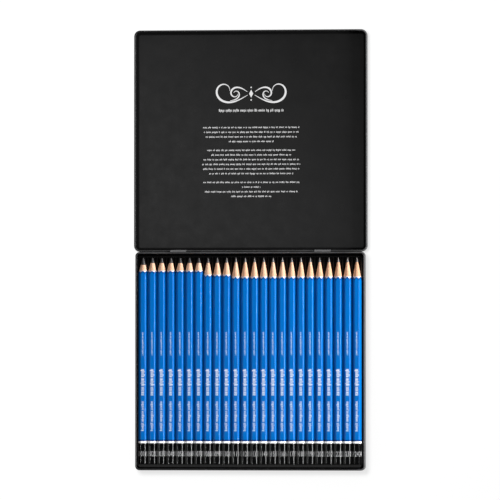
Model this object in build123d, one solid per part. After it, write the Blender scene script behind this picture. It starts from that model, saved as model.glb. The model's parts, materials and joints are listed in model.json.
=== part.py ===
from build123d import *
import math
import os

# A hinged tin of drawn tinplate that holds a row of sharpened pencils in a formed tray.
# Millimetres. X runs along the hinge, Y from the pencils' butts to the lid, Z up.
# The tin lies open flat: the base in front of the hinge, the lid behind it, rims up.

# Pencils: hexagonal wooden barrels, one flat up
pencil_count = 24
pencil_length = 175.0
across_flats = 6.9
barrel_corner_round = 1.0
butt_round = 0.5
dipped_cap = 0.4
glue_gap = 0.03

# Sharpened ends: the first pencils hold thick soft leads, the last ones thin hard leads
softest_lead_diameter = 4.1
soft_count = 7
soft_lead_diameter = 3.3
soft_tip_radius = 0.5
soft_cone_length = 11.4
medium_count = 3
medium_lead_diameter = 2.4
medium_tip_radius = 0.3
medium_cone_length = 14.9
hard_lead_diameter = 2.0
hard_tip_radius = 0.25
hard_cone_length = 16.7

# Formed tray of thin sheet, with one groove for each pencil
tray_sheet = 0.4
pencil_gap = 0.25
seat_gap = 0.05
flank_gap = 0.1
pencil_lift = 2.95
ledge_drop = 1.7
ridge_round = 0.6
groove_round = 0.6
tray_corner_radius = 2.5
tray_edge_round = 0.8
side_margin = 0.5
front_ledge = 2.9
rear_ledge = 1.5
tip_gap = 0.3
butt_gap = 0.3

# Room between the tray and the hem of the base
left_play = 0.15
right_play = 1.25
front_play = 0.55
rear_play = 1.5

# Tinplate of both halves
sheet = 0.25
bend_radius = 1.5
curl_radius = 0.75
curl_turn = 300.0
base_corner_radius = 3.5
rim_above_pencils = 3.2
lid_headroom = 1.05
hem_gap = 0.2

# Hinge: two wires in the lid's rear curl, and a curled tongue of the base round each
hinge_offset = 61.3
knuckle_width = 13.6
wire_overlap = 9.0
wire_gap = 0.025
knuckle_clearance = 0.075
window_side_gap = 0.3
window_margin = 1.0
tongue_drop = 0.3

# Section of the barrel
flat_width = across_flats / math.sqrt(3)
barrel_width = 2 * flat_width - 2 * barrel_corner_round * (1 / math.cos(math.radians(30)) - 1)
pitch = barrel_width + pencil_gap

# Heights
pencil_bottom = sheet + pencil_lift
pencil_axis_z = pencil_bottom + across_flats / 2
pencil_top = pencil_bottom + across_flats
tray_foot_z = sheet + seat_gap
ledge_z = pencil_top - ledge_drop
base_rim_z = pencil_top + rim_above_pencils
closed_height = base_rim_z + lid_headroom + sheet
hinge_z = closed_height / 2
lid_rim_z = hinge_z + curl_radius

# Outer sizes of the two halves
hem_width = 2 * curl_radius
tray_width = pencil_count * pitch + 2 * side_margin
tray_length = front_ledge + butt_gap + pencil_length + tip_gap + rear_ledge
base_width = tray_width + left_play + right_play + 2 * hem_width
base_depth = tray_length + front_play + rear_play + 2 * hem_width
lid_grow = hem_width + hem_gap
lid_width = base_width + 2 * lid_grow
lid_depth = base_depth + 2 * lid_grow
lid_corner_radius = base_corner_radius + lid_grow

# Places along Y, with the whole open tin centred on the origin
hinge_y = (base_depth - lid_depth) / 2 + curl_radius + hem_gap / 2
base_rear_y = hinge_y - curl_radius - hem_gap
base_centre_y = base_rear_y - base_depth / 2
lid_rear_y = hinge_y - curl_radius
lid_centre_y = lid_rear_y + lid_depth / 2
tray_rear_y = base_rear_y - hem_width - rear_play
groove_rear_y = tray_rear_y - rear_ledge
tip_y = groove_rear_y - tip_gap
butt_y = tip_y - pencil_length
groove_front_y = butt_y - butt_gap
tray_front_y = groove_front_y - front_ledge
tray_centre_x = (left_play - right_play) / 2

# Hinge sections
curl_bore = curl_radius - sheet
wire_radius = curl_bore - wire_gap
knuckle_bore = wire_radius + knuckle_clearance
knuckle_radius = knuckle_bore + sheet


def pencil_x(number):
    """Place across the tray of the pencil with this number, counted from 1."""
    return tray_centre_x + (number - (pencil_count + 1) / 2) * pitch


def point_sizes(number):
    """Lead diameter, tip radius and cone length of the pencil with this number."""
    if number == 1:
        return softest_lead_diameter, soft_tip_radius, soft_cone_length
    if number <= soft_count:
        return soft_lead_diameter, soft_tip_radius, soft_cone_length
    if number <= soft_count + medium_count:
        return medium_lead_diameter, medium_tip_radius, medium_cone_length
    return hard_lead_diameter, hard_tip_radius, hard_cone_length


def pan_section(rim_z):
    """Section through a pan's wall: X outwards from the wall's outer face, Y up.

    The floor bends up into the wall, and the wall's edge curls inwards.
    """
    floor_edge = -bend_radius - sheet
    curl_z = rim_z - curl_radius
    bend = (-bend_radius, bend_radius)
    curl = (-curl_radius, curl_z)
    curl_centre = Vector(*curl)
    edge = Vector(math.cos(math.radians(curl_turn)), math.sin(math.radians(curl_turn)))
    outline = [
        Line((floor_edge, 0), (-bend_radius, 0)),
        CenterArc(bend, bend_radius, -90, 90),
        Line((0, bend_radius), (0, curl_z)),
        CenterArc(curl, curl_radius, 0, curl_turn),
        Line(curl_centre + edge * curl_radius, curl_centre + edge * curl_bore),
        CenterArc(curl, curl_bore, 0, curl_turn),
        Line((-sheet, curl_z), (-sheet, bend_radius)),
        CenterArc(bend, bend_radius - sheet, -90, 90),
        Line((-bend_radius, sheet), (floor_edge, sheet)),
        Line((floor_edge, sheet), (floor_edge, 0)),
    ]
    return Plane.XZ * make_face(outline)


def pan(width, depth, corner, rim_z):
    """A drawn pan with a curled rim, centred on the origin and open at the top."""
    section = pan_section(rim_z)
    bend = revolve(Pos(corner, 0, 0) * section, Axis.Z, 90)
    floor_inset = bend_radius + sheet
    floor_plan = RectangleRounded(
        width - 2 * floor_inset, depth - 2 * floor_inset, corner - floor_inset
    )
    pieces = [extrude(floor_plan, sheet)]
    for quarter in range(4):
        across, along = (width, depth) if quarter % 2 == 0 else (depth, width)
        straight = along - 2 * corner
        side = Pos(across / 2, straight / 2, 0) * extrude(section, straight)
        turned_corner = Pos(across / 2 - corner, along / 2 - corner, 0) * bend
        pieces += [Rot(0, 0, 90 * quarter) * piece for piece in (side, turned_corner)]
    return Part() + pieces


def knuckle_section():
    """Section of a hinge tongue: Y of the tin along X here, Z of the tin along Y."""
    axis = Vector(hinge_y, hinge_z)
    root = Vector(base_rear_y, base_rim_z - curl_radius - tongue_drop)
    away = root - axis
    tangent = math.atan2(away.Y, away.X) - math.acos(knuckle_radius / away.length)
    normal = Vector(math.cos(tangent), math.sin(tangent))
    strip = Polygon(
        axis + normal * knuckle_radius,
        root,
        root - normal * sheet,
        axis + normal * knuckle_bore,
        align=None,
    )
    at_axis = Pos(hinge_y, hinge_z)
    return at_axis * Circle(knuckle_radius) + strip - at_axis * Circle(knuckle_bore)


def hinge_tongue(side):
    """The base's tongue on one side, -1 left or 1 right, curled round the wire."""
    start = side * hinge_offset - knuckle_width / 2
    return extrude(Plane.YZ.offset(start) * knuckle_section(), knuckle_width)


def hinge_window(side):
    """The block cut from the lid's rear curl and wall to let the tongue through."""
    width = knuckle_width + 2 * window_side_gap
    below = knuckle_radius + window_margin
    upright = (Align.CENTER, Align.CENTER, Align.MIN)
    block = Box(width, 3 * hem_width, below + hem_width, align=upright)
    return Pos(side * hinge_offset, hinge_y, hinge_z - below) * block


def base_pan():
    """The lower half of the tin, with the two hinge tongues on its rear wall."""
    body = Pos(0, base_centre_y, 0) * pan(base_width, base_depth, base_corner_radius, base_rim_z)
    return body + hinge_tongue(-1) + hinge_tongue(1)


def lid_shell():
    """The upper half of the tin, lying open with its outer panel down."""
    body = Pos(0, lid_centre_y, 0) * pan(lid_width, lid_depth, lid_corner_radius, lid_rim_z)
    return body - hinge_window(-1) - hinge_window(1)


def hinge_wire(side):
    """The wire in the lid's rear curl, through the tongue on one side."""
    length = knuckle_width + 2 * wire_overlap
    start = side * hinge_offset - length / 2
    return extrude(Plane.YZ.offset(start) * Pos(hinge_y, hinge_z) * Circle(wire_radius), length)


def groove_outline(depth):
    """The grooves' line across the tray, at this depth inside the tray's upper face."""
    slope = math.radians(60)
    inner_corner = depth * math.tan(slope / 2)
    half_floor = flat_width / 2 + flank_gap / math.sin(slope) - seat_gap / math.tan(slope)
    floor_z = pencil_bottom - seat_gap
    apex_z = floor_z + (pitch / 2 - half_floor) * math.tan(slope)
    shoulder_x = ridge_round / math.tan(slope) - inner_corner
    shoulder_z = apex_z - ridge_round
    edge_x = tray_width / 2 + tray_corner_radius
    first = pencil_x(1) - pitch / 2
    last = pencil_x(pencil_count) + pitch / 2
    points = [(tray_centre_x - edge_x, shoulder_z - depth), (first + shoulder_x, shoulder_z - depth)]
    radii = [ridge_round - depth]
    for number in range(1, pencil_count + 1):
        centre = pencil_x(number)
        points.append((centre - half_floor - inner_corner, floor_z - depth))
        points.append((centre + half_floor + inner_corner, floor_z - depth))
        radii += [groove_round + depth] * 2
        if number < pencil_count:
            points.append((centre + pitch / 2, apex_z - 2 * depth))
        else:
            points.append((last - shoulder_x, shoulder_z - depth))
        radii.append(ridge_round - depth)
    points.append((tray_centre_x + edge_x, shoulder_z - depth))
    return points, radii


def trough(depth):
    """Everything above the grooves, this deep inside the tray's upper face."""
    points, radii = groove_outline(depth)
    top = pencil_top + across_flats
    left, right = points[0], points[-1]
    line = FilletPolyline(*points, radius=radii)
    lid_line = Polyline(left, (left[0], top), (right[0], top), right)
    face = make_face(line.edges() + lid_line.edges())
    length = groove_rear_y - groove_front_y + 2 * depth
    return extrude(Plane.XZ.offset(-groove_rear_y - depth) * face, length)


def tray_block(depth):
    """The tray's plain outer form, this deep inside its faces and open below."""
    plan = RectangleRounded(
        tray_width - 2 * depth, tray_length - 2 * depth, tray_corner_radius - depth
    )
    height = ledge_z - tray_foot_z
    centre = Pos(tray_centre_x, (tray_front_y + tray_rear_y) / 2, tray_foot_z - depth)
    block = centre * extrude(plan, height)
    rim = block.faces().sort_by(Axis.Z)[-1].edges()
    return fillet(rim, tray_edge_round - depth)


def insert_tray():
    """The formed tray: the same form twice, one inside the other by the sheet."""
    upper = tray_block(0) - trough(0)
    under = tray_block(tray_sheet) - trough(tray_sheet)
    return upper - under


def barrel_blank():
    """An unsharpened hexagonal barrel along Y, with its butt's edge rounded."""
    hexagon = RegularPolygon(across_flats / 2, 6, major_radius=False)
    section = fillet(hexagon.vertices(), barrel_corner_round)
    blank = extrude(Plane.XZ.offset(-tip_y) * section, pencil_length)
    butt = blank.faces().sort_by(Axis.Y)[0]
    return fillet(butt.edges(), butt_round)


def sharpened_form(tip_radius, cone_length):
    """The round form that a sharpener leaves: a cone that widens past the barrel."""
    slope = (across_flats / 2 - tip_radius) / cone_length
    wide = barrel_width
    cone_end = (wide - tip_radius) / slope
    outline = Polyline(
        (0, tip_y),
        (tip_radius, tip_y),
        (wide, tip_y - cone_end),
        (wide, butt_y - wide),
        (0, butt_y - wide),
        close=True,
    )
    return revolve(make_face(outline), Axis.Y)


def lead_rod(radius):
    """A plain rod along the barrel's axis, from the dipped cap to past the tip."""
    length = pencil_length - dipped_cap
    return extrude(Plane.XZ.offset(-tip_y) * Circle(radius), length)


def pencil(number):
    """The barrel and the lead of one pencil, in their place in the tray."""
    lead_diameter, tip_radius, cone_length = point_sizes(number)
    form = sharpened_form(tip_radius, cone_length)
    place = Pos(pencil_x(number), 0, pencil_axis_z)
    barrel = barrel_blank() & form
    barrel -= lead_rod(lead_diameter / 2 + glue_gap)
    lead = lead_rod(lead_diameter / 2) & form
    tip = lead.faces().sort_by(Axis.Y)[-1]
    lead = fillet(tip.edges(), tip_radius / 2)
    return place * barrel, place * lead


def save(node, shape):
    """Write one node, as one solid, to its own file."""
    solids = shape.solids()
    if len(solids) != 1:
        raise ValueError(f"{node} has {len(solids)} solids")
    export_step(solids[0], f"parts/{node}.step")


def build():
    """Make every piece of the open tin."""
    os.makedirs("parts", exist_ok=True)
    save("base_pan", base_pan())
    save("lid_shell", lid_shell())
    save("hinge_wire_left", hinge_wire(-1))
    save("hinge_wire_right", hinge_wire(1))
    save("insert_tray", insert_tray())
    for number in range(1, pencil_count + 1):
        barrel, lead = pencil(number)
        save(f"pencil_{number:02d}_barrel", barrel)
        save(f"pencil_{number:02d}_lead", lead)


build()
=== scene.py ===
import json
import logging
import math
import random
from dataclasses import dataclass, field, replace
from enum import Enum
from functools import cached_property
from typing import ClassVar

import bmesh
import bpy
from mathutils import Matrix, Vector

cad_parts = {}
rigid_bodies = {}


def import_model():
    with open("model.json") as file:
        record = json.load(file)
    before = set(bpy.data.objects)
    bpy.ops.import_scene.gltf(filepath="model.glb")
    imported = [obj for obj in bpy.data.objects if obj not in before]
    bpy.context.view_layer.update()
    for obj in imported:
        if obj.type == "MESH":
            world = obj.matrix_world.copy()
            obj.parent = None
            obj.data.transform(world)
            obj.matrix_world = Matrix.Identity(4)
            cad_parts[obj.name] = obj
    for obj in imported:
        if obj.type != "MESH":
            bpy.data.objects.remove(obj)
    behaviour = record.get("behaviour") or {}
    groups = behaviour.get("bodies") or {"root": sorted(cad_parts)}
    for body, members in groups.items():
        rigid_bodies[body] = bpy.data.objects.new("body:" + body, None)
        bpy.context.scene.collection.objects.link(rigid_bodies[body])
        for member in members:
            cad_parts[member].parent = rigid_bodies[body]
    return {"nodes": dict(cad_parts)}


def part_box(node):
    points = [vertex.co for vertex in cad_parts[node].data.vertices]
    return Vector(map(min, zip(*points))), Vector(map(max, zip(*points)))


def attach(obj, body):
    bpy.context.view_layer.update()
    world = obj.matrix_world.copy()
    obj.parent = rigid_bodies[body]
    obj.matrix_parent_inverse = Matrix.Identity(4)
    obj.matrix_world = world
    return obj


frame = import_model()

# Looks of an open pencil tin: its finishes, its printed marks, the studio and the camera.
# Sizes are millimetres and angles degrees. Noise scales are waves in a metre, and the studio
# is set out in metres.

MM = 0.001
TO_METRES = Matrix.Scale(MM, 4)
HALF_FACET = math.pi / 6
EVEN = (1.0, 1.0, 1.0)
WHITE = (1.0, 1.0, 1.0)
# Corner radius of a printed bar as a share of its shorter side
CORNER_SHARE = 0.4
# The spans that a noise value mostly stays in
NOISE = (0.3, 0.7)
WIDE_NOISE = (0.25, 0.75)
log = logging.getLogger("pencil_tin")

Socket = bpy.types.NodeSocket
Colour = tuple[float, float, float]
Place = tuple[float, float, float]
Range = tuple[float, float]
Outline = list[tuple[float, float]]


class Facet(Enum):
    """The three upper facets of a barrel, by their turn from straight up towards +X."""

    LEFT = -60.0
    TOP = 0.0
    RIGHT = 60.0


class Grade(Enum):
    """The three kinds of sharpened point, by the last pencil of each kind."""

    SOFT = 7
    MEDIUM = 10
    HARD = 24


@dataclass(frozen=True, eq=False)
class Value:
    """A value on a sheet; arithmetic on it adds the nodes that work it out."""

    sheet: "Sheet"
    socket: Socket

    def __add__(self, other: "Feed") -> "Value":
        """Sum of both."""
        return self.sheet.calc("ADD", self, other)

    def __sub__(self, other: "Feed") -> "Value":
        """This less the other."""
        return self.sheet.calc("SUBTRACT", self, other)

    def __rsub__(self, other: "Feed") -> "Value":
        """The other less this."""
        return self.sheet.calc("SUBTRACT", other, self)

    def __mul__(self, other: "Feed") -> "Value":
        """Product of both."""
        return self.sheet.calc("MULTIPLY", self, other)

    def __truediv__(self, other: "Feed") -> "Value":
        """This over the other."""
        return self.sheet.calc("DIVIDE", self, other)

    def __gt__(self, other: "Feed") -> "Value":
        """1 where this is larger, or else 0."""
        return self.sheet.calc("GREATER_THAN", self, other)

    def __lt__(self, other: "Feed") -> "Value":
        """1 where this is smaller, or else 0."""
        return self.sheet.calc("LESS_THAN", self, other)

    def __abs__(self) -> "Value":
        """This without its sign."""
        return self.sheet.calc("ABSOLUTE", self)

    def at_least(self, other: "Feed") -> "Value":
        """The larger of both."""
        return self.sheet.calc("MAXIMUM", self, other)


Feed = Value | float | tuple | Vector


class Sheet:
    """A node tree under construction, with short calls for the nodes that the finishes use."""

    def __init__(self, tree: bpy.types.NodeTree) -> None:
        """Keep the tree that the calls add to."""
        self.tree = tree

    def node(self, kind: str, **settings: object) -> bpy.types.Node:
        """Add a node.

        Args:
            kind: Blender's name of the node type.
            settings: Values of the node's own properties.

        Returns:
            The new node.
        """
        made = self.tree.nodes.new(kind)
        for name, value in settings.items():
            setattr(made, name, value)
        return made

    def feed(self, node: bpy.types.Node, values: dict[int | str, Feed]) -> None:
        """Fill inputs of a node.

        Args:
            node: The node.
            values: What each input is linked or set to, by its index or name.
        """
        for key, value in values.items():
            socket = node.inputs[key]
            if isinstance(value, Value):
                self.tree.links.new(value.socket, socket)
            elif socket.type == "RGBA":
                socket.default_value = (*value, 1.0)
            else:
                socket.default_value = value

    def step(self, kind: str, values: dict[int | str, Feed], output: int = 0, **settings: object) -> Value:
        """Add a node with its inputs filled.

        Args:
            kind: Blender's name of the node type.
            values: What its inputs get.
            output: The index of the output that counts.
            settings: Values of the node's own properties.

        Returns:
            That output.
        """
        made = self.node(kind, **settings)
        self.feed(made, values)
        return Value(self, made.outputs[output])

    def source(self, kind: str) -> dict[str, Value]:
        """Add a node that only gives values, and hand out its outputs by name."""
        return {out.name: Value(self, out) for out in self.node(kind).outputs}

    def calc(self, operation: str, *values: Feed) -> Value:
        """One step of arithmetic, by the Math node's name for it."""
        return self.step("ShaderNodeMath", dict(enumerate(values)), operation=operation)

    def length(self, across: Value, along: Value) -> Value:
        """Length of a line from its two parts."""
        return self.calc("SQRT", across * across + along * along)

    def scaled(self, vector: Feed, factors: Feed) -> Value:
        """Multiply a vector by another one, part by part."""
        return self.step("ShaderNodeVectorMath", {0: vector, 1: factors}, operation="MULTIPLY")

    def millimetres(self, position: Value) -> tuple[Value, Value, Value]:
        """X, Y and Z of a place that is given in metres."""
        return self.parts(self.scaled(position, (1 / MM, 1 / MM, 1 / MM)))

    def parts(self, vector: Value) -> tuple[Value, Value, Value]:
        """Split a vector.

        Args:
            vector: The vector.

        Returns:
            X, Y and Z.
        """
        split = self.node("ShaderNodeSeparateXYZ")
        self.feed(split, {0: vector})
        return tuple(Value(self, part) for part in split.outputs)

    def blend(self, factor: Feed, low: Feed, high: Feed) -> Value:
        """Mix two colours, from low at a factor of 0 to high at 1."""
        return self.step("ShaderNodeMix", {0: factor, 6: low, 7: high}, 2, data_type="RGBA")

    def span(self, value: Feed, start: Feed, end: Feed, low: Feed = 0.0, high: Feed = 1.0) -> Value:
        """Map a value from start..end to low..high, held at both ends."""
        return self.step("ShaderNodeMapRange", dict(enumerate((value, start, end, low, high))))

    def noise(self, vector: Value, scale: Feed, detail: float = 2.0, rough: float = 0.5) -> Value:
        """Add fractal noise.

        Args:
            vector: Where it is read.
            scale: Its waves in a metre.
            detail: How many finer layers it has.
            rough: How strong the finer layers are.

        Returns:
            The noise, about 0.5 on average.
        """
        return self.step(
            "ShaderNodeTexNoise", {"Vector": vector, "Scale": scale, "Detail": detail, "Roughness": rough}
        )

    def bump(self, height: Value, depth: float) -> Value:
        """Normal of a height of 0 to 1, where 1 stands for the depth."""
        return self.step("ShaderNodeBump", {"Distance": depth * MM, "Height": height})


class Effect:
    """A shader node group that is built once and then placed in any material."""

    title: ClassVar[str]
    vectors: ClassVar[tuple[str, ...]] = ("Position",)
    numbers: ClassVar[tuple[str, ...]]
    gives: ClassVar[tuple[str, ...]] = ("Mask",)

    def build(self, sheet: Sheet, given: dict[str, Value]) -> dict[str, Value]:
        """Fill the group; each effect has its own.

        Args:
            sheet: The group's node tree.
            given: The group's inputs by name.

        Returns:
            What each output shows, by name.
        """
        raise NotImplementedError

    def group(self) -> bpy.types.NodeTree:
        """Find the group, or build it the first time.

        Returns:
            The group.
        """
        made = bpy.data.node_groups.get(self.title)
        if made:
            return made
        made = bpy.data.node_groups.new(self.title, "ShaderNodeTree")
        for names, direction, kind in (
            (self.vectors, "INPUT", "Vector"),
            (self.numbers, "INPUT", "Float"),
            (self.gives, "OUTPUT", "Float"),
        ):
            for name in names:
                made.interface.new_socket(name=name, in_out=direction, socket_type=f"NodeSocket{kind}")
        sheet = Sheet(made)
        shown = self.build(sheet, sheet.source("NodeGroupInput"))
        sheet.feed(sheet.node("NodeGroupOutput"), shown)
        return made

    def place(self, sheet: Sheet, **values: Feed) -> dict[str, Value]:
        """Put the effect in a material.

        Args:
            sheet: The material's node tree.
            values: Its inputs, with underscores for the spaces in their names.

        Returns:
            Its outputs by name.
        """
        step = sheet.node("ShaderNodeGroup", node_tree=self.group())
        sheet.feed(step, {name.replace("_", " ").title(): value for name, value in values.items()})
        return {name: Value(sheet, step.outputs[name]) for name in self.gives}


class SurfaceGrain(Effect):
    """Fine waves and tone of a surface, stretched along any axis: orange peel, drawn metal or wood."""

    title = "Surface Grain"
    vectors = ("Position", "Stretch")
    numbers = ("Scale",)
    gives = ("Height", "Tone")
    tone_share = 0.07

    def build(self, sheet: Sheet, given: dict[str, Value]) -> dict[str, Value]:
        """Read two layers of noise at the stretched place.

        Args:
            sheet: The group's node tree.
            given: Position, Stretch and Scale.

        Returns:
            Height from the fine layer and Tone from the coarse one.
        """
        place = sheet.scaled(given["Position"], given["Stretch"])
        return {
            "Height": sheet.noise(place, given["Scale"], detail=3.0, rough=0.55),
            "Tone": sheet.noise(place, given["Scale"] * self.tone_share, detail=4.0, rough=0.6),
        }


class EdgeWearAndHighlight(Effect):
    """Where handling has worn a rolled rim: small broken patches, and a soft rub along the hinges, the
    knuckles and the crest, partly worn metal and partly painted highlight.
    """

    title = "Edge Wear And Highlight"
    numbers = ("Crest", "Line", "Knuckle Reach", "Rim Highlight")
    gives = ("Mask", "Rub And Highlight")
    crest_reach = 0.5
    crest_pull = 0.30
    patch_scale, patch_edge = 420.0, (0.92, 0.98)
    line_reach = (3.2, 2.56)
    # Along the hinge line the rub is partly worn metal and partly painted highlight
    line_scale, line_polish = 70.0, (0.17, 0.31)
    knuckle_share = 0.9

    def build(self, sheet: Sheet, given: dict[str, Value]) -> dict[str, Value]:
        """Find the crest by its height and the hinge by its distance, and break both up with noise.

        Args:
            sheet: The group's node tree.
            given: Position, the crest's height, the hinge line's Y, how far the knuckles reach
            from it, and how much painted highlight the whole crest gets.

        Returns:
            Mask, the bare patches, and the soft rub of worn metal and painted highlight, full on the
            knuckles.
        """
        _, y, z = sheet.millimetres(given["Position"])
        crest = sheet.span(z, given["Crest"] - self.crest_reach, given["Crest"])
        patches = sheet.noise(given["Position"], self.patch_scale, detail=5.0, rough=0.7)
        worn = sheet.span(crest * self.crest_pull + patches, *self.patch_edge)
        off_line = abs(y - given["Line"])
        uneven = sheet.span(sheet.noise(given["Position"], self.line_scale), *NOISE, *self.line_polish)
        along = sheet.span(off_line, *self.line_reach) * uneven
        reach = given["Knuckle Reach"]
        knuckle = sheet.span(off_line, reach, reach * self.knuckle_share)
        # The second output is partly worn metal and partly painted highlight along the crest, the hinge line
        # and the knuckles
        return {
            "Mask": worn * crest,
            "Rub And Highlight": (crest * along.at_least(given["Rim Highlight"])).at_least(knuckle),
        }


class FoldShade(Effect):
    """Painted shade: a dull dark line in the fold along the foot of a pan's walls."""

    title = "Fold Shade"
    numbers = ("Middle", "Half Width", "Half Depth", "Corner", "Crest")
    # Where the line fades in, from the outer face inwards, from the floor up and from the crest down
    inner_edge, outer_edge = (3.9, 2.8), (0.12, 0.2)
    floor_edge, crest_edge = (0.1, 0.2), (1.4, 1.8)

    def build(self, sheet: Sheet, given: dict[str, Value]) -> dict[str, Value]:
        """Measure how far in from the pan's rounded outline a point lies, and keep to the inside.

        Args:
            sheet: The group's node tree.
            given: Position, the pan's middle along Y, its half width and depth, its corner radius
                and the height of its rim.

        Returns:
            Mask, 1 in the fold.
        """
        x, y, z = sheet.millimetres(given["Position"])
        corner = given["Corner"]
        past_side = (abs(x) - (given["Half Width"] - corner)).at_least(0.0)
        past_end = (abs(y - given["Middle"]) - (given["Half Depth"] - corner)).at_least(0.0)
        inward = corner - sheet.length(past_side, past_end)
        mask = sheet.span(inward, *self.inner_edge)
        for value, edge in (
            (inward, self.outer_edge), (z, self.floor_edge), (given["Crest"] - z, self.crest_edge),
        ):
            mask = mask * sheet.span(value, *edge)
        return {"Mask": mask}


class SettledDust(Effect):
    """A thin uneven haze and a few specks on what faces up."""

    title = "Settled Dust"
    vectors = ("Position", "Facing")
    numbers = ("Amount",)
    speck_scale, speck_edge = 1900.0, (0.76, 0.84)
    haze_scale, haze_edge, haze_most = 38.0, (0.42, 0.75), 0.35
    upward = (0.6, 0.95)

    def build(self, sheet: Sheet, given: dict[str, Value]) -> dict[str, Value]:
        """Scatter specks over a haze, and keep both to upward faces.

        Args:
            sheet: The group's node tree.
            given: Position, the surface's Facing and the Amount.

        Returns:
            Mask, 0 to 1.
        """
        _, _, up = sheet.parts(given["Facing"])
        specks = sheet.span(sheet.noise(given["Position"], self.speck_scale, 1.0), *self.speck_edge)
        clouds = sheet.noise(given["Position"], self.haze_scale, detail=5.0, rough=0.65)
        haze = sheet.span(clouds, *self.haze_edge, 0.0, self.haze_most)
        dust = sheet.calc("MINIMUM", haze + specks, 1.0)
        return {"Mask": dust * sheet.span(up, *self.upward) * given["Amount"]}


class BarrelPlace(Effect):
    """Where a point lies on its own pencil: which one, how far from the tip and how deep in the barrel."""

    title = "Barrel Place"
    numbers = ("First", "Pitch", "Axis", "Tip", "Flat", "Round")
    gives = ("Number", "From Tip", "Radius", "Depth")

    def build(self, sheet: Sheet, given: dict[str, Value]) -> dict[str, Value]:
        """Fold the point into one half of one facet of the rounded hexagon.

        Args:
            sheet: The group's node tree.
            given: Position, the row's first X and pitch, the axis height, the tip's Y, and the
                hexagon's flat and corner radii.

        Returns:
            The pencil's number, and the three distances.
        """
        x, y, z = sheet.millimetres(given["Position"])
        along_row = x - given["First"]
        index = sheet.calc("FLOOR", along_row / given["Pitch"] + 0.5)
        across, above = along_row - index * given["Pitch"], z - given["Axis"]
        radius = sheet.length(across, above)
        turn = sheet.calc("ARCTAN2", across, above)
        folded = abs(sheet.calc("WRAP", turn, HALF_FACET, -HALF_FACET))
        core = given["Flat"] - given["Round"]
        over = (radius * sheet.calc("COSINE", folded) - core).at_least(0.0)
        past = (radius * sheet.calc("SINE", folded) - core * math.tan(HALF_FACET)).at_least(0.0)
        return {
            "Number": index + 1.0,
            "From Tip": given["Tip"] - y,
            "Radius": radius,
            "Depth": given["Round"] - sheet.length(over, past),
        }


def blank_tree(owner: bpy.types.Material | bpy.types.World) -> bpy.types.NodeTree:
    """Give a material or a world an empty node tree.

    Args:
        owner: The material or world.

    Returns:
        The tree.
    """
    owner.use_nodes = True
    owner.node_tree.nodes.clear()
    return owner.node_tree


class Skin(Sheet):
    """The node tree of a material, with each point's place and facing in the rest frame."""

    def __init__(self, tree: bpy.types.NodeTree) -> None:
        """Keep the tree, and read the place and the facing.

        Args:
            tree: The material's empty node tree.
        """
        super().__init__(tree)
        point = self.source("ShaderNodeTexCoord")
        self.position, self.facing = point["Object"], point["Normal"]

    def grain(self, scale: float, stretch: Place = EVEN) -> dict[str, Value]:
        """Height and Tone of the surface grain."""
        return SurfaceGrain().place(self, position=self.position, stretch=stretch, scale=scale)

    def dust(self, amount: float) -> Value:
        """Mask of the settled dust."""
        return SettledDust().place(self, position=self.position, facing=self.facing, amount=amount)["Mask"]

    def mottled(self, tone: Value, colour: Colour, most: float) -> Value:
        """A colour that the tone makes up to a number of times as light."""
        return self.blend(self.span(tone, *NOISE), colour, tuple(most * part for part in colour))


@dataclass(frozen=True)
class Finish:
    """What every finish has: a name, and patterns that stay with the rest frame."""

    title: str

    def paint(self, skin: Skin) -> dict[str, Feed]:
        """Work out the surface; each kind has its own.

        Args:
            skin: The material's node tree.

        Returns:
            The inputs of the Principled BSDF by name.
        """
        raise NotImplementedError

    def material(self) -> bpy.types.Material:
        """Build the finish.

        Returns:
            The material.
        """
        material = bpy.data.materials.new(self.title)
        skin = Skin(blank_tree(material))
        shader = skin.step("ShaderNodeBsdfPrincipled", self.paint(skin))
        skin.feed(skin.node("ShaderNodeOutputMaterial"), {"Surface": shader})
        return material


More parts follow.
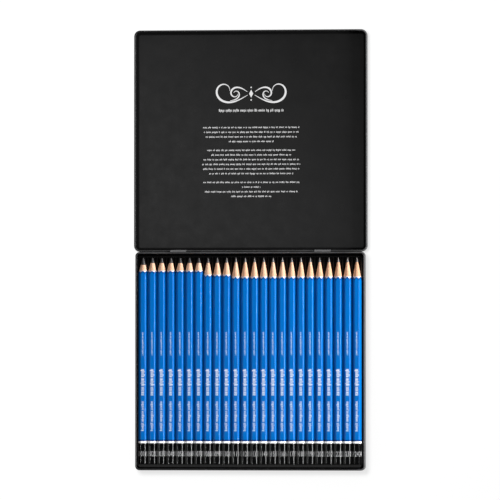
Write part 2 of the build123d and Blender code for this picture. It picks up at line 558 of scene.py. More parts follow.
@dataclass(frozen=True)
class TinLacquer(Finish):
    """Satin black lacquer on tinplate, with a rolled rim worn by handling, painted shade in the fold at the
    foot of the walls and a painted highlight along the rims.
    """

    crest: float
    middle: float
    half_width: float
    half_depth: float
    hinge_line: float
    knuckle_reach: float
    fold_corner: float = 5.2
    black: Colour = (0.0085, 0.0085, 0.0088)
    mottling: float = 1.35
    # Painted shade: the near-black laid in the fold along the foot of the walls
    painted_fold_shade: Colour = (0.0020, 0.0020, 0.0021)
    # Grey of the rub on the rims: worn metal with a painted highlight
    rub_and_highlight_grey: Colour = (0.46, 0.46, 0.47)
    tinplate: Colour = (0.42, 0.42, 0.43)
    dust: Colour = (0.16, 0.155, 0.15)
    dust_amount: float = 0.10
    roughness: Range = (0.26, 0.34)
    fold_dullness: float = 0.55
    dust_dullness: float = 0.5
    peel_scale: float = 1300.0
    peel_depth: float = 0.006
    # Painted highlight on the rims: a little along every crest and more across the right edge, between these
    # X in mm
    rim_highlight: float = 0.07
    right_rim_highlight: float = 0.36
    right_rim_edge: Range = (90.0, 95.0)

    def paint(self, skin: Skin) -> dict[str, Feed]:
        """Lay dust, painted shade in the fold, a rub of worn metal with a painted highlight on the rims, and
        bare patches over the black.

        Args:
            skin: The material's node tree.

        Returns:
            The inputs of the Principled BSDF by name.
        """
        across, _, _ = skin.millimetres(skin.position)
        peel, dust = skin.grain(self.peel_scale), skin.dust(self.dust_amount)
        # Painted highlight along the crest, stronger across the right edge
        polish = skin.span(across, *self.right_rim_edge, self.rim_highlight, self.right_rim_highlight)
        rim_marks = EdgeWearAndHighlight().place(
            skin, position=skin.position, crest=self.crest, line=self.hinge_line,
            knuckle_reach=self.knuckle_reach, rim_highlight=polish,
        )
        # Mask of the painted shade in the fold along the foot of the walls
        fold = FoldShade().place(
            skin, position=skin.position, middle=self.middle, half_width=self.half_width,
            half_depth=self.half_depth, corner=self.fold_corner, crest=self.crest,
        )["Mask"]
        colour = skin.mottled(peel["Tone"], self.black, self.mottling)
        # Dust and bare patches are the tin's own; the fold layer is painted shade, and the rub layer is worn
        # metal with a painted highlight
        for mask, layer in (
            (dust, self.dust),
            (fold, self.painted_fold_shade),
            (rim_marks["Rub And Highlight"], self.rub_and_highlight_grey),
            (rim_marks["Mask"], self.tinplate),
        ):
            colour = skin.blend(mask, colour, layer)
        rough = skin.span(peel["Tone"], *WIDE_NOISE, *self.roughness) + fold * self.fold_dullness
        return {
            "Base Color": colour,
            "Metallic": rim_marks["Mask"],
            "Roughness": rough + dust * self.dust_dullness,
            "Normal": skin.bump(peel["Height"], self.peel_depth),
        }


@dataclass(frozen=True)
class FormedPlastic(Finish):
    """Thin black sheet, formed over a mould, with its faint pebbled skin."""

    black: Colour = (0.0060, 0.0060, 0.0064)
    mottling: float = 1.5
    dust: Colour = (0.15, 0.145, 0.14)
    dust_amount: float = 0.12
    roughness: Range = (0.35, 0.47)
    pebble_scale: float = 2300.0
    pebble_depth: float = 0.010

    def paint(self, skin: Skin) -> dict[str, Feed]:
        """Lay dust over the pebbled black.

        Args:
            skin: The material's node tree.

        Returns:
            The inputs of the Principled BSDF by name.
        """
        pebbles = skin.grain(self.pebble_scale)
        plastic = skin.mottled(pebbles["Tone"], self.black, self.mottling)
        return {
            "Base Color": skin.blend(skin.dust(self.dust_amount), plastic, self.dust),
            "Roughness": skin.span(pebbles["Height"], *NOISE, *self.roughness),
            "Normal": skin.bump(pebbles["Height"], self.pebble_depth),
        }


@dataclass(frozen=True)
class DrawnWire(Finish):
    """Steel wire with the long faint scratches that drawing leaves."""

    steel: Colour = (0.46, 0.46, 0.47)
    dark: Colour = (0.26, 0.26, 0.27)
    roughness: Range = (0.24, 0.42)
    scratch_scale: float = 9000.0
    scratch_stretch: Place = (0.03, 1.0, 1.0)
    scratch_depth: float = 0.004

    def paint(self, skin: Skin) -> dict[str, Feed]:
        """Scratch the steel along X.

        Args:
            skin: The material's node tree.

        Returns:
            The inputs of the Principled BSDF by name.
        """
        scratches = skin.grain(self.scratch_scale, self.scratch_stretch)["Height"]
        return {
            "Base Color": skin.blend(scratches, self.dark, self.steel),
            "Metallic": 1.0,
            "Roughness": skin.span(scratches, *NOISE, *self.roughness),
            "Normal": skin.bump(scratches, self.scratch_depth),
        }


@dataclass(frozen=True)
class Ink(Finish):
    """Printed ink or foil, a little uneven where the surface under it shows through."""

    full: Colour
    thin: Colour
    metal: float
    roughness: Range
    grain_scale: float = 5000.0
    grain_depth: float = 0.003

    def paint(self, skin: Skin) -> dict[str, Feed]:
        """Thin the ink out with a fine grain.

        Args:
            skin: The material's node tree.

        Returns:
            The inputs of the Principled BSDF by name.
        """
        grain = skin.grain(self.grain_scale)["Height"]
        return {
            "Base Color": skin.blend(grain, self.thin, self.full),
            "Metallic": self.metal,
            "Roughness": skin.span(grain, *NOISE, *self.roughness),
            "Normal": skin.bump(grain, self.grain_depth),
        }


WHITE_INK = Ink("white_ink", (0.86, 0.86, 0.86), (0.66, 0.66, 0.67), metal=0.0, roughness=(0.45, 0.55))
SILVER_FOIL = Ink("silver_foil", (0.52, 0.52, 0.53), (0.38, 0.38, 0.39), metal=0.15, roughness=(0.30, 0.40))


@dataclass(frozen=True)
class Row:
    """The row of pencils as the frame gives it."""

    first: float
    pitch: float
    axis: float
    tip: float
    length: float
    flat: float
    corner_round: float

    def place(self, skin: Skin) -> dict[str, Value]:
        """Put the barrel place in a material.

        Args:
            skin: The material's node tree.

        Returns:
            The effect's outputs by name.
        """
        return BarrelPlace().place(
            skin, position=skin.position, first=self.first, pitch=self.pitch, axis=self.axis,
            tip=self.tip, flat=self.flat, round=self.corner_round,
        )

    def turns(self, skin: Skin, place: dict[str, Value], pitch: float) -> Value:
        """Fine rings that a sharpener leaves, as a wave along the pencil from -1 to 1."""
        return skin.calc("SINE", place["From Tip"] * (2 * math.pi / pitch))


@dataclass(frozen=True)
class BarrelLacquer(Finish):
    """A whole barrel: bare sharpened cedar, blue lacquer, a white ring and a black dipped end."""

    row: Row
    blue: Colour = (0.0, 0.122, 0.430)
    blue_deep: Colour = (0.0, 0.104, 0.386)
    navy: Colour = (0.0, 0.020, 0.120)
    dark_band_strength: float = 0.9
    primer: Colour = (0.60, 0.59, 0.70)
    ring_white: Colour = (0.90, 0.90, 0.91)
    dip_black: Colour = (0.0022, 0.0022, 0.0024)
    # From the tip: the end of the sharpened part, and the starts of the ring and of the dip
    cut_end: float = 25.0
    ring_start: float = 155.6
    dip_start: float = 157.3
    # The dark bands, where they begin and are full: a lap before the ring, and painted shade behind the cut
    ring_lap: Range = (1.8, 0.9)
    cut_shade: Range = (1.5, 0.0)
    # The cut: how deep below the facets bare wood begins, where the primer begins and is full inside
    # the flats' radius, and how far outside that radius bare wood ends
    cut_depth: float = 0.03
    primer_depth: Range = (0.17, 0.051)
    lip: float = 0.14
    # Tip radius and cone length of the soft, medium and hard points
    points: tuple[Range, Range, Range] = ((0.5, 11.4), (0.3, 14.9), (0.25, 16.7))
    gloss: Range = (0.20, 0.28)
    specular: float = 0.12
    soft_coat: float = 0.10
    full_coat: float = 0.8
    coat_roughness: float = 0.12
    streak_scale: float = 1500.0
    streak_stretch: Place = (1.0, 0.12, 1.0)
    streak_height: float = 0.25
    relief_depth: float = 0.012
    wood_light: Colour = (0.70, 0.46, 0.33)
    wood_dark: Colour = (0.58, 0.31, 0.18)
    wood_roughness: float = 0.62
    wood_scale: float = 5200.0
    wood_stretch: Place = (1.0, 0.035, 1.0)
    wood_fibre: float = 0.9
    own_shade: float = 0.09
    own_shade_step: float = 12.9
    grade_shade: Range = (-0.18, 0.12)
    turn_pitch: float = 0.42
    turn_height: float = 0.22

    def past_cut(self, skin: Skin, place: dict[str, Value]) -> Value:
        """Measure how far a lacquered point lies behind the sharpener's cut.

        Args:
            skin: The material's node tree.
            place: The barrel place.

        Returns:
            The distance along the barrel.
        """
        after_soft = place["Number"] > Grade.SOFT.value + 0.5
        after_medium = place["Number"] > Grade.MEDIUM.value + 0.5
        tip_radius, cone_length = (
            after_medium * (hard - medium) + (after_soft * (medium - soft) + soft)
            for soft, medium, hard in zip(*self.points)
        )
        slope = (self.row.flat - tip_radius) / cone_length
        return place["From Tip"] - (place["Radius"] - tip_radius) / slope

    def wood(self, skin: Skin, place: dict[str, Value]) -> tuple[Value, Value]:
        """Grain the bare cedar, each pencil in its own shade.

        Args:
            skin: The material's node tree.
            place: The barrel place.

        Returns:
            The wood's colour and its height.
        """
        grain = skin.grain(self.wood_scale, self.wood_stretch)
        own = skin.calc("SINE", place["Number"] * self.own_shade_step) * self.own_shade
        fibre = (grain["Height"] - 0.5) * self.wood_fibre
        grade = skin.span(
            place["Number"], Grade.SOFT.value, Grade.MEDIUM.value + 1, *self.grade_shade
        )
        shade = skin.span(grain["Tone"], *WIDE_NOISE) + own + fibre + grade
        turns = self.row.turns(skin, place, self.turn_pitch) * self.turn_height
        return skin.blend(shade, self.wood_light, self.wood_dark), turns + grain["Height"]

    def lacquer(self, skin: Skin, place: dict[str, Value], tone: Value, dipped: Value) -> Value:
        """Colour the paint from its edge at the cone, with a band of painted shade behind the cut, to the
        dipped end.

        Args:
            skin: The material's node tree.
            place: The barrel place.
            tone: The paint's streaks.
            dipped: 1 on the dipped end.

        Returns:
            The paint's colour.
        """
        from_tip = place["From Tip"]
        # Painted shade: a navy band on the lacquer just behind the sharpener's cut
        cut_shade_mask = skin.span(self.past_cut(skin, place), *self.cut_shade) * (from_tip < self.cut_end)
        near_ring = skin.span(from_tip, *(self.ring_start - lap for lap in self.ring_lap))
        colour = skin.blend(skin.span(tone, *NOISE), self.blue, self.blue_deep)
        for mask, layer in (
            (cut_shade_mask * self.dark_band_strength, self.navy),
            (near_ring * self.dark_band_strength, self.navy),
            (from_tip > self.ring_start, self.ring_white),
            (dipped, self.dip_black),
        ):
            colour = skin.blend(mask, colour, layer)
        return colour

    def paint(self, skin: Skin) -> dict[str, Feed]:
        """Finish the barrel from the tip to the butt.

        Args:
            skin: The material's node tree.

        Returns:
            The inputs of the Principled BSDF by name.
        """
        place, flat = self.row.place(skin), self.row.flat
        from_tip, radius = place["From Tip"], place["Radius"]
        below_paint = (place["Depth"] > self.cut_depth) * (from_tip < self.cut_end)
        bare = below_paint * (radius < flat + self.lip)
        primed = skin.span(radius, *(flat - depth for depth in self.primer_depth))
        wood, wood_height = self.wood(skin, place)
        streaks = skin.grain(self.streak_scale, self.streak_stretch)
        dipped = from_tip > self.dip_start
        lacquer = self.lacquer(skin, place, streaks["Tone"], dipped)
        gloss = skin.span(streaks["Tone"], *WIDE_NOISE, *self.gloss)
        height = wood_height * bare + streaks["Height"] * self.streak_height
        return {
            "Base Color": skin.blend(bare, lacquer, skin.blend(primed, wood, self.primer)),
            "Roughness": skin.blend(bare, gloss, (self.wood_roughness,) * 3),
            "Specular IOR Level": self.specular,
            "Coat Weight": (1.0 - bare) * (dipped * (self.full_coat - self.soft_coat) + self.soft_coat),
            "Coat Roughness": self.coat_roughness,
            "Normal": skin.bump(height, self.relief_depth),
        }


@dataclass(frozen=True)
class Graphite(Finish):
    """Fired graphite, turned to a point, with fine rings from the sharpener and a soft metal sheen."""

    row: Row
    core: Colour = (0.030, 0.028, 0.028)
    shine: Colour = (0.060, 0.058, 0.060)
    pale: Colour = (0.18, 0.165, 0.16)
    hard_paleness: float = 0.8
    sheen: float = 0.2
    sheen_edge: Range = (0.1, 0.9)
    roughness: Range = (0.34, 0.46)
    grain_scale: float = 8000.0
    turn_pitch: float = 0.23
    turn_height: float = 0.15
    relief_depth: float = 0.008

    def paint(self, skin: Skin) -> dict[str, Feed]:
        """Ring the lead, and make the hard leads paler.

        Args:
            skin: The material's node tree.

        Returns:
            The inputs of the Principled BSDF by name.
        """
        place, grain = self.row.place(skin), skin.grain(self.grain_scale)["Height"]
        height = self.row.turns(skin, place, self.turn_pitch) * self.turn_height + grain
        lead = skin.blend(skin.span(height, *self.sheen_edge), self.core, self.shine)
        hard = skin.span(
            place["Number"], Grade.SOFT.value, Grade.MEDIUM.value + 1, 0.0, self.hard_paleness
        )
        return {
            "Base Color": skin.blend(hard, lead, self.pale),
            "Metallic": self.sheen,
            "Roughness": skin.span(grain, *NOISE, *self.roughness),
            "Normal": skin.bump(height, self.relief_depth),
        }


def dress(node: str, finish: bpy.types.Material) -> None:
    """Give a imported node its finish.

    Args:
        node: The node's name.
        finish: The material that takes the place of its plain one.
    """
    mesh = frame["nodes"][node].data
    mesh.materials.clear()
    mesh.materials.append(finish)
    log.info("%s: dressed in %s", node, finish.name)


class Relief:
    """One mesh of thin raised shapes, each a closed solid between the same two heights."""

    weld = 1e-7

    def __init__(self, heights: Range) -> None:
        """Start with nothing but the heights of the lower and upper faces."""
        self.work = bmesh.new()
        self.heights = heights

    def edge(self, line: Outline, height: float, where: Matrix) -> list[bmesh.types.BMVert]:
        """Add the points of a line, raised to a height over the flat."""
        return [self.work.verts.new(where @ Vector((*point, height))) for point in line]

    def prism(self, outline: Outline, where: Matrix) -> None:
        """Raise a flat outline into a solid.

        Args:
            outline: The points around it, in order.
            where: The place of the flat it lies on.
        """
        lower, upper = (self.edge(outline, height, where) for height in self.heights)
        self.work.faces.new(list(reversed(lower)))
        self.work.faces.new(upper)
        for index in range(len(outline)):
            after = (index + 1) % len(outline)
            self.work.faces.new((lower[index], lower[after], upper[after], upper[index]))

    def ribbon(self, left: Outline, right: Outline, where: Matrix) -> None:
        """Raise the band between two lines into a solid.

        Args:
            left: Points along one side.
            right: As many points along the other side.
            where: The place of the flat it lies on.
        """
        bottom, top = self.heights
        corners = [
            self.edge(side, height, where)
            for side, height in ((left, top), (right, top), (right, bottom), (left, bottom))
        ]
        for index in range(len(left) - 1):
            for near, far in zip(corners, corners[1:] + corners[:1]):
                self.work.faces.new((near[index], near[index + 1], far[index + 1], far[index]))
        self.work.faces.new([side[0] for side in corners])
        self.work.faces.new([side[-1] for side in reversed(corners)])

    def add(self, mesh: bpy.types.Mesh, where: Matrix) -> None:
        """Take in a ready mesh at a place.

        Args:
            mesh: The mesh, which is used up.
            where: The place of the flat it lies on.
        """
        mesh.transform(where)
        self.work.from_mesh(mesh)
        bpy.data.meshes.remove(mesh)

    def piece(self, name: str, body: str, slot: str, material: bpy.types.Material) -> None:
        """Turn the shapes into a piece that rides on a body.

        Args:
            name: The piece's name.
            body: The body it rides on.
            slot: The record's material slot; not used.
            material: Its finish.
        """
        bmesh.ops.remove_doubles(self.work, verts=self.work.verts, dist=self.weld)
        bmesh.ops.recalc_face_normals(self.work, faces=self.work.faces)
        mesh = bpy.data.meshes.new(name)
        self.work.to_mesh(mesh)
        self.work.free()
        mesh.materials.append(material)
        piece = bpy.data.objects.new(name, mesh)
        bpy.context.scene.collection.objects.link(piece)
        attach(piece, body)
        log.info("%s: %d faces, rides on %s", name, len(mesh.polygons), body)


def rounded_bar(x: float, y: float, width: float, height: float, steps: int = 3) -> Outline:
    """Outline of an upright bar with rounded corners.

    Args:
        x: Its centre along the line.
        y: Its centre across the line.
        width: Its width along the line.
        height: Its height across the line.
        steps: The points in each rounded corner.

    Returns:
        The points around it.
    """
    corner = CORNER_SHARE * min(width, height)
    points = []
    for quarter, (side_x, side_y) in enumerate(((1, 1), (-1, 1), (-1, -1), (1, -1))):
        for step in range(steps):
            angle = math.pi / 2 * (quarter + step / (steps - 1))
            points.append((
                x + side_x * (width / 2 - corner) + corner * math.cos(angle),
                y + side_y * (height / 2 - corner) + corner * math.sin(angle),
            ))
    return points


@dataclass(frozen=True)
class DashedLine:
    """A line of plain upright strokes in groups, in the place of a line of print."""

    length: float
    height: float
    stroke: float
    gap: float
    group_gap: float
    group_sizes: tuple[int, int] = (3, 9)
    widths: tuple[float, ...] = (0.8, 1.0, 1.5)
    rises: tuple[float, ...] = (0.0, 0.0, 0.0, 0.35, -0.3)

    def strokes(self, draw: random.Random) -> list[Outline]:
        """Lay out the strokes, centred on the line's middle.

        Args:
            draw: The source of the uneven groups and heights.

        Returns:
            One outline for each stroke.
        """
        places, at = [], 0.0
        left_in_group = draw.randint(*self.group_sizes)
        while at + self.stroke <= self.length:
            width = self.stroke * draw.choice(self.widths)
            places.append((at + width / 2, width, draw.choice(self.rises)))
            left_in_group -= 1
            at += width + (self.gap if left_in_group else self.group_gap)
            left_in_group = left_in_group or draw.randint(*self.group_sizes)
        last_at, last_width, _ = places[-1]
        shift = (last_at + last_width / 2) / 2
        return [
            rounded_bar(at - shift, rise * self.height / 2, width, self.height * (1 + abs(rise)))
            for at, width, rise in places
        ]

    def raise_on(self, relief: Relief, draw: random.Random, where: Matrix) -> None:
        """Raise the line on a flat.

        Args:
            relief: What takes the strokes.
            draw: The source of the uneven groups and heights.
            where: The place of the line's middle.
        """
        for outline in self.strokes(draw):
            relief.prism(outline, where)


@dataclass(frozen=True)
class Stroke:
    """A pen stroke from its first point and heading; its bend, the turn per millimetre, changes evenly."""

    start: tuple[float, float]
    heading: float
    length: float
    bend: Range
    width: float

    def line(self, steps: int) -> list[tuple[float, float, float]]:
        """Follow the stroke.

        Args:
            steps: How many steps that takes.

        Returns:
            For each step the point and its direction in radians.
        """
        x, y = self.start
        step = self.length / steps
        direction = math.radians(self.heading)
        line = [(x, y, direction)]
        for index in range(steps):
            share = (index + 0.5) / steps
            turn = math.radians(self.bend[0] + (self.bend[1] - self.bend[0]) * share) * step
            direction += turn
            x += step * math.cos(direction - turn / 2)
            y += step * math.sin(direction - turn / 2)
            line.append((x, y, direction))
        return line


@dataclass
class Flourish:
    """A symmetrical scroll ornament of swelling pen strokes, with a lozenge and two dots in the middle."""

    size: float = 1.16
    strokes: tuple[Stroke, ...] = (
        Stroke((2.6, -1.0), -30.0, 44.0, (-0.5, 14.5), 1.5),
        Stroke((2.8, 1.4), 34.0, 23.0, (0.8, -27.0), 1.2),
        Stroke((15.5, -5.2), 168.0, 15.0, (2.0, -34.0), 0.9),
    )
    thinnest: float = 0.32
    swelling: float = 1.3
    steps: int = 72
    lozenge: tuple[float, float] = (1.5, 2.9)
    dot_y: float = 4.6
    dot_width: float = 1.0
    dot_steps: int = 5

    def raise_stroke(self, relief: Relief, stroke: Stroke, where: Matrix) -> None:
        """Raise a stroke and its mirror image, thick in the middle and thin at both ends.

        Args:
            relief: What takes the shapes.
            stroke: The stroke.
            where: The place of the ornament's middle.
        """
        left, right = [], []
        line = stroke.line(self.steps)
        for index, (x, y, direction) in enumerate(line):
            swell = math.sin(math.pi * index / (len(line) - 1)) ** self.swelling
            half = (self.thinnest + (stroke.width - self.thinnest) * swell) / 2
            aside = (-math.sin(direction) * half, math.cos(direction) * half)
            left.append((x + aside[0], y + aside[1]))
            right.append((x - aside[0], y - aside[1]))
        for side in (1, -1):
            mirrored = ([(side * x, y) for x, y in edge] for edge in (left, right))
            relief.ribbon(*mirrored, where)

    def draw(self, relief: Relief, where: Matrix) -> None:
        """Draw the whole ornament.

        Args:
            relief: What takes the shapes.
            where: The place of the ornament's middle.
        """
        where = where @ Matrix.Diagonal((self.size, self.size, 1.0, 1.0))
        for stroke in self.strokes:
            self.raise_stroke(relief, stroke, where)
        wide, high = self.lozenge
        relief.prism([(wide, 0.0), (0.0, high), (-wide, 0.0), (0.0, -high)], where)
        for y in (self.dot_y, -self.dot_y):
            relief.prism(rounded_bar(0.0, y, self.dot_width, self.dot_width, self.dot_steps), where)


@dataclass
class Tin:
    """The two halves of the case and the wires of its hinges."""

    hinge_line: float = field(default_factory=lambda: sum(p.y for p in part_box("hinge_wire_left")) / 2 / MM)
    rear: float = field(default_factory=lambda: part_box("lid_shell")[0].y / MM)
    knuckle_reach: float = 0.9

    def lacquer(self, title: str, node: str, far: float, knuckle_reach: float) -> TinLacquer:
        """Fit the lacquer to one half.

        Args:
            title: The finish's name.
            node: The half's node.
            far: The Y of its edge away from the hinge.
            knuckle_reach: How far its hinge knuckles reach from the hinge line.

        Returns:
            The finish.
        """
        low, high = (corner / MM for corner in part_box(node))
        return TinLacquer(
            title, crest=high.z, middle=(far + self.rear) / 2, half_width=(high.x - low.x) / 2,
            half_depth=abs(far - self.rear) / 2, hinge_line=self.hinge_line, knuckle_reach=knuckle_reach,
        )

    def dress(self) -> None:
        """Give both halves their lacquer and the wires their steel."""
        front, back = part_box("base_pan")[0].y / MM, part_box("lid_shell")[1].y / MM
        dress("base_pan", self.lacquer("base_lacquer", "base_pan", front, self.knuckle_reach).material())
        dress("lid_shell", self.lacquer("lid_lacquer", "lid_shell", back, 0.0).material())
        steel = DrawnWire("hinge_steel").material()
        for side in ("left", "right"):
            dress(f"hinge_wire_{side}", steel)


@dataclass
class Tray:
    """The formed tray under the pencils."""

    finish: FormedPlastic = FormedPlastic("tray_plastic")

    def dress(self) -> None:
        """Give the tray its plastic."""
        dress("insert_tray", self.finish.material())


@dataclass
class LidPrint:
    """White print inside the lid: an ornament over a caption and three blocks of dashed rows."""

    ornament_y: float = 133.0
    caption_y: float = 118.6
    caption: DashedLine = DashedLine(56.0, 1.7, 0.42, 0.36, 1.25)
    first_row_y: float = 104.2
    row: DashedLine = DashedLine(0.0, 1.05, 0.30, 0.27, 1.15, (2, 8))
    row_pitch: float = 3.97
    block_gap: float = 3.5
    blocks: tuple[tuple[float, ...], ...] = (
        (83.0, 81.0, 78.0, 38.0),
        (75.0, 68.0, 82.0, 84.0, 82.0, 72.0),
        (83.0, 16.0, 79.0, 35.0),
    )
    # The inside of the lid's panel, and the ink that sinks a little into its lacquer
    panel: float = 0.25
    ink: Range = (-0.01, 0.02)
    seed: int = 11

    def lines(self) -> list[tuple[float, DashedLine]]:
        """Lay out the caption and the rows below it.

        Returns:
            Each line with its Y, from the top.
        """
        lines, y = [(self.caption_y, self.caption)], self.first_row_y
        for block in self.blocks:
            for length in block:
                lines.append((y, replace(self.row, length=length)))
                y -= self.row_pitch
            y -= self.block_gap
        return lines

    def build(self, ink: bpy.types.Material) -> None:
        """Make the ornament and the rows.

        Args:
            ink: Their finish.
        """
        draw = random.Random(self.seed)
        heights = (self.panel + self.ink[0], self.panel + self.ink[1])
        ornament, rows = Relief(heights), Relief(heights)
        Flourish().draw(ornament, TO_METRES @ Matrix.Translation((0, self.ornament_y, 0)))
        ornament.piece("lid_print_ornament", "lid", "tin", ink)
        for y, line in self.lines():
            line.raise_on(rows, draw, TO_METRES @ Matrix.Translation((0, y, 0)))
        rows.piece("lid_print_rows", "lid", "tin", ink)


@dataclass
class PencilRow:
    """The pencils, with their finishes, the print along each barrel and a number at each end."""

    count: int = Grade.HARD.value
    corner_round: float = 1.0
    ink: Range = (-0.02, 0.02)
    # Each line's middle, from the butt
    prints: tuple[tuple[float, DashedLine], ...] = (
        (69.3, DashedLine(22.9, 2.4, 0.42, 0.46, 1.0, (4, 9))),
        (40.6, DashedLine(25.5, 1.7, 0.28, 0.50, 1.2, (4, 11))),
        (102.1, DashedLine(19.8, 0.95, 0.22, 0.38, 0.8, (3, 8))),
    )
    number_middle: float = 8.5
    number_height: float = 4.3
    number_narrowing: float = 0.55
    number_spread: float = 1.05
    # Height of a figure as a share of its font size, and steps in each of its curves
    figure_share: float = 0.7
    figure_steps: int = 3
    seed: int = 5

    def corners(self, number: int) -> tuple[Vector, Vector]:
        """Low and high corners of one whole pencil, from its barrel and its lead."""
        barrel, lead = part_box(f"pencil_{number:02d}_barrel"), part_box(f"pencil_{number:02d}_lead")
        return barrel[0] / MM, Vector((barrel[1].x, lead[1].y, barrel[1].z)) / MM

    def middle_x(self, number: int) -> float:
        """Place of one pencil's axis across the tray."""
        low, high = self.corners(number)
        return (low.x + high.x) / 2

    @cached_property
    def row(self) -> Row:
        """Measure the row in the frame.

        Returns:
            Its sizes.
        """
        low, high = self.corners(1)
        flat = (high.z - low.z) / 2
        first, last = self.middle_x(1), self.middle_x(self.count)
        return Row(
            first=first, pitch=(last - first) / (self.count - 1), axis=low.z + flat, tip=high.y,
            length=high.y - low.y, flat=flat, corner_round=self.corner_round,
        )

    def facet(self, number: int, side: Facet, from_butt: float) -> Matrix:
        """Place of a print on a facet.

        Args:
            number: The pencil.
            side: The facet.
            from_butt: The print's middle, from the butt.

        Returns:
            The place, with +X across the facet, +Y towards the tip and +Z out of the facet.
        """
        y = self.row.tip - self.row.length + from_butt
        axis = Matrix.Translation((self.middle_x(number), y, self.row.axis))
        turned = Matrix.Rotation(math.radians(side.value), 4, "Y")
        return TO_METRES @ axis @ turned @ Matrix.Translation((0, 0, self.row.flat))

    def figures(self, number: int) -> bpy.types.Mesh:
        """Flat raised figures of a number, centred.

        Args:
            number: What the figures say.

        Returns:
            Their mesh.
        """
        curve = bpy.data.curves.new("figures", "FONT")
        curve.body = f"{number:02d}"
        curve.size = self.number_height / self.figure_share
        curve.space_character = self.number_spread
        curve.extrude = self.ink[1]
        curve.resolution_u = self.figure_steps
        curve.align_x, curve.align_y = "CENTER", "CENTER"
        holder = bpy.data.objects.new("figures", curve)
        mesh = bpy.data.meshes.new_from_object(holder)
        mesh.transform(Matrix.Diagonal((self.number_narrowing, 1.0, 1.0, 1.0)))
        bpy.data.objects.remove(holder)
        bpy.data.curves.remove(curve)
        return mesh

    def print_pencil(self, number: int, white: bpy.types.Material, silver: bpy.types.Material) -> None:
        """Print the barrel and the end of one pencil.

        Args:
            number: The pencil.
            white: The ink along the barrel.
            silver: The foil of the figures.
        """
        draw = random.Random(self.seed)
        towards_butt = Matrix.Rotation(-math.pi / 2, 4, "Z")
        lines, figures = Relief(self.ink), Relief(self.ink)
        for from_butt, line in self.prints:
            line.raise_on(lines, draw, self.facet(number, Facet.TOP, from_butt) @ towards_butt)
        lines.piece(f"pencil_{number:02d}_print", f"pencil_{number:02d}", "barrel", white)
        for side in Facet:
            figures.add(self.figures(number), self.facet(number, side, self.number_middle))
        figures.piece(f"pencil_{number:02d}_number", f"pencil_{number:02d}", "barrel", silver)

    def build(self, white: bpy.types.Material) -> None:
        """Dress and print every pencil.

        Args:
            white: The ink along the barrels.
        """
        barrel = BarrelLacquer("barrel_finish", self.row).material()
        graphite = Graphite("graphite", self.row).material()
        silver = SILVER_FOIL.material()
        for number in range(1, self.count + 1):
            dress(f"pencil_{number:02d}_barrel", barrel)
            dress(f"pencil_{number:02d}_lead", graphite)
            self.print_pencil(number, white, silver)


@dataclass(frozen=True)
class Panel:
    """A soft rectangular lamp that faces a point and lights only some groups of pieces."""

    name: str
    place: Place
    aim: Place
    size: tuple[float, float]
    radiance: float
    lights: tuple[str, ...]
    shaded_by: tuple[str, ...] = ()
    turn: float = 0.0

    def linked(self, title: str, chosen: tuple[str, ...], groups: dict[str, list]) -> bpy.types.Collection:
        """Gather pieces for light linking.

        Args:
            title: What the pieces do for the lamp.
            chosen: The names of their groups.
            groups: The pieces of every group.

        Returns:
            The collection.
        """
        gathered = bpy.data.collections.new(f"{self.name}_{title}")
        for group in chosen:
            for piece in groups[group]:
                gathered.objects.link(piece)
        return gathered

    def build(self, groups: dict[str, list]) -> None:
        """Hang the lamp.

        Args:
            groups: The pieces of every group.
        """
        width, height = self.size
        lamp = bpy.data.lights.new(self.name, "AREA")
        lamp.shape = "RECTANGLE"
        lamp.size, lamp.size_y = width, height
        lamp.energy = self.radiance * math.pi * width * height
        made = bpy.data.objects.new(self.name, lamp)
        made.location = self.place
        towards = (Vector(self.aim) - Vector(self.place)).to_track_quat("-Z", "Y")
        made.rotation_mode = "QUATERNION"
        made.rotation_quaternion = (
            towards @ Matrix.Rotation(math.radians(-self.turn), 3, "Z").to_quaternion()
        )
        made.visible_camera = False
        bpy.context.scene.collection.objects.link(made)
        made.light_linking.receiver_collection = self.linked("lights", self.lights, groups)
        if self.shaded_by:
            made.light_linking.blocker_collection = self.linked("blockers", self.shaded_by, groups)
        log.info("%s: lamp of %.2f by %.2f m", self.name, width, height)


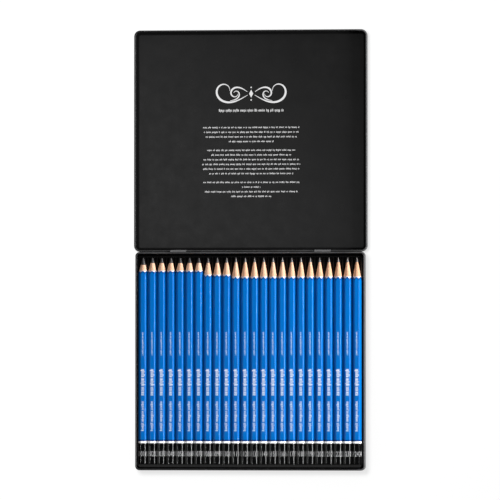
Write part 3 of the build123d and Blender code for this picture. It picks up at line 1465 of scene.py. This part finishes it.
@dataclass
class Studio:
    """A white table, plain soft lamps, a pale surround and the camera over the tin, in metres."""

    camera_distance: float = 4.0
    lean_right: float = 5.0
    lean_front: float = 1.5
    aim: Place = (-0.0004, -0.00015, 0.007)
    lens: float = 339.6
    floor_reach: float = 3.0
    floor_drop: float = 0.00002
    floor_paper: float = 0.86
    floor_glow: float = 0.72
    floor_shade: float = 0.33
    ambient: float = 0.28
    # What polish mirrors: walls that are lit on the right and a paler wall at the back
    walls: Range = (0.12, 0.5)
    walls_turn: Range = (0.2, 0.9)
    walls_top: float = 0.45
    back_wall: float = 0.30
    back_turn: Range = (0.3, 0.9)
    panels: tuple[Panel, ...] = (
        Panel("key", (-0.26, 0.31, 1.60), (0.0, 0.0, 0.0), (0.52, 0.46), 25.5, ("floor", "prints")),
        Panel(
            "card_over_tin", (-0.27, 0.12, 1.5), (-0.27, 0.12, 0.0), (0.7, 0.22), 1.65, ("tinplate",),
            turn=45.0,
        ),
        Panel("window_on_rims", (1.18, 0.0, 0.50), (0.0, 0.0, 0.0), (1.3, 0.42), 8.0, ("tinplate",)),
        Panel("card_over_tray", (-0.03, -0.235, 0.35), (-0.03, -0.235, 0.0), (0.4, 0.14), 1.1, ("tray",)),
        Panel(
            "window_right", (1.18, -0.09, 0.45), (0.0, -0.09, 0.0), (1.3, 0.42), 25.0, ("pencils",),
            ("floor", "tray", "pencils"),
        ),
        Panel(
            "fill_right", (1.18, -0.09, 0.45), (0.0, -0.09, 0.0), (1.3, 0.42), 4.0, ("pencils",),
            ("floor", "tray"),
        ),
        Panel(
            "strip_left", (-0.75, -0.175, 0.75), (0.0, -0.175, 0.0), (0.45, 0.10), 9.0, ("pencils",),
            ("floor", "pencils"),
        ),
        Panel(
            "glint_left", (-0.75, -0.245, 0.75), (0.0, -0.17, 0.0), (0.10, 0.04), 120.0, ("pencils",),
            ("floor", "pencils"),
        ),
    )

    def floor_material(self) -> bpy.types.Material:
        """Make a white surface that shows as white and still takes the tin's shadow.

        Returns:
            The material.
        """
        material = bpy.data.materials.new("table_white")
        sheet = Sheet(blank_tree(material))
        paper = sheet.step("ShaderNodeBsdfDiffuse", {"Color": (self.floor_paper,) * 3})
        shade = sheet.step("ShaderNodeBsdfDiffuse", {"Color": (self.floor_shade,) * 3})
        glow = sheet.step("ShaderNodeEmission", {"Color": (self.floor_glow,) * 3})
        path = sheet.source("ShaderNodeLightPath")
        seen = path["Is Camera Ray"].at_least(path["Is Glossy Ray"]).at_least(path["Is Transmission Ray"])
        shown = sheet.step("ShaderNodeAddShader", {0: shade, 1: glow})
        choice = sheet.step("ShaderNodeMixShader", {0: seen, 1: paper, 2: shown})
        sheet.feed(sheet.node("ShaderNodeOutputMaterial"), {"Surface": choice})
        return material

    def floor(self) -> bpy.types.Object:
        """Make the table that the tin lies on.

        Returns:
            The floor.
        """
        reach = self.floor_reach
        mesh = bpy.data.meshes.new("table_top")
        corners = [(-reach, -reach, 0), (reach, -reach, 0), (reach, reach, 0), (-reach, reach, 0)]
        mesh.from_pydata(corners, [], [(0, 1, 2, 3)])
        mesh.materials.append(self.floor_material())
        top = bpy.data.objects.new("table_top", mesh)
        top.location.z = -self.floor_drop
        bpy.context.scene.collection.objects.link(top)
        return top

    def world(self) -> None:
        """Surround the table with dim even light that shows as white."""
        world = bpy.data.worlds.new("pale_surround")
        world.cycles.sampling_method = "NONE"
        sheet = Sheet(blank_tree(world))
        path = sheet.source("ShaderNodeLightPath")
        right, back, up = sheet.parts(sheet.source("ShaderNodeTexCoord")["Generated"])
        walls = sheet.span(right, *self.walls_turn, *self.walls)
        low_walls = walls * sheet.span(up, 0.0, self.walls_top, 1.0, 0.0)
        surround = low_walls.at_least(sheet.span(back, *self.back_turn, 0.0, self.back_wall))
        mirrored = sheet.blend(path["Is Glossy Ray"], (self.ambient,) * 3, surround)
        shown = sheet.blend(path["Is Camera Ray"], mirrored, WHITE)
        light = sheet.step("ShaderNodeBackground", {"Color": shown})
        sheet.feed(sheet.node("ShaderNodeOutputWorld"), {"Surface": light})
        bpy.context.scene.world = world

    def lamps(self, floor: bpy.types.Object) -> None:
        """Hang the lamps, each for the pieces that it suits.

        Args:
            floor: The table.
        """
        tinplate = ("base_pan", "lid_shell", "hinge_wire_left", "hinge_wire_right")
        groups = {
            "floor": [floor],
            "prints": [piece for piece in bpy.data.objects if piece.name.startswith("lid_print")],
            "pencils": [piece for piece in bpy.data.objects if piece.name.startswith("pencil_")],
            "tinplate": [frame["nodes"][name] for name in tinplate],
            "tray": [frame["nodes"]["insert_tray"]],
        }
        for panel in self.panels:
            panel.build(groups)

    def camera(self) -> None:
        """Look down on the tin from far off, a little from its right and front."""
        lens = bpy.data.cameras.new("over_tin")
        lens.lens = self.lens
        camera = bpy.data.objects.new("over_tin", lens)
        lean = Matrix.Rotation(math.radians(self.lean_right), 3, "Y")
        lean = lean @ Matrix.Rotation(math.radians(self.lean_front), 3, "X")
        camera.location = Vector(self.aim) + lean @ Vector((0.0, 0.0, self.camera_distance))
        camera.rotation_euler = lean.to_euler()
        bpy.context.scene.collection.objects.link(camera)
        bpy.context.scene.camera = camera

    def build(self) -> None:
        """Set the table, the surround, the lamps and the camera."""
        self.world()
        self.lamps(self.floor())
        self.camera()
        bpy.context.scene.view_settings.view_transform = "Standard"


def main() -> None:
    """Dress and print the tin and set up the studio."""
    logging.basicConfig(level=logging.INFO, format="%(name)s: %(message)s")
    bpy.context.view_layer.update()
    white = WHITE_INK.material()
    Tin().dress()
    LidPrint().build(white)
    Tray().dress()
    PencilRow().build(white)
    Studio().build()


if __name__ == "__main__":
    main()
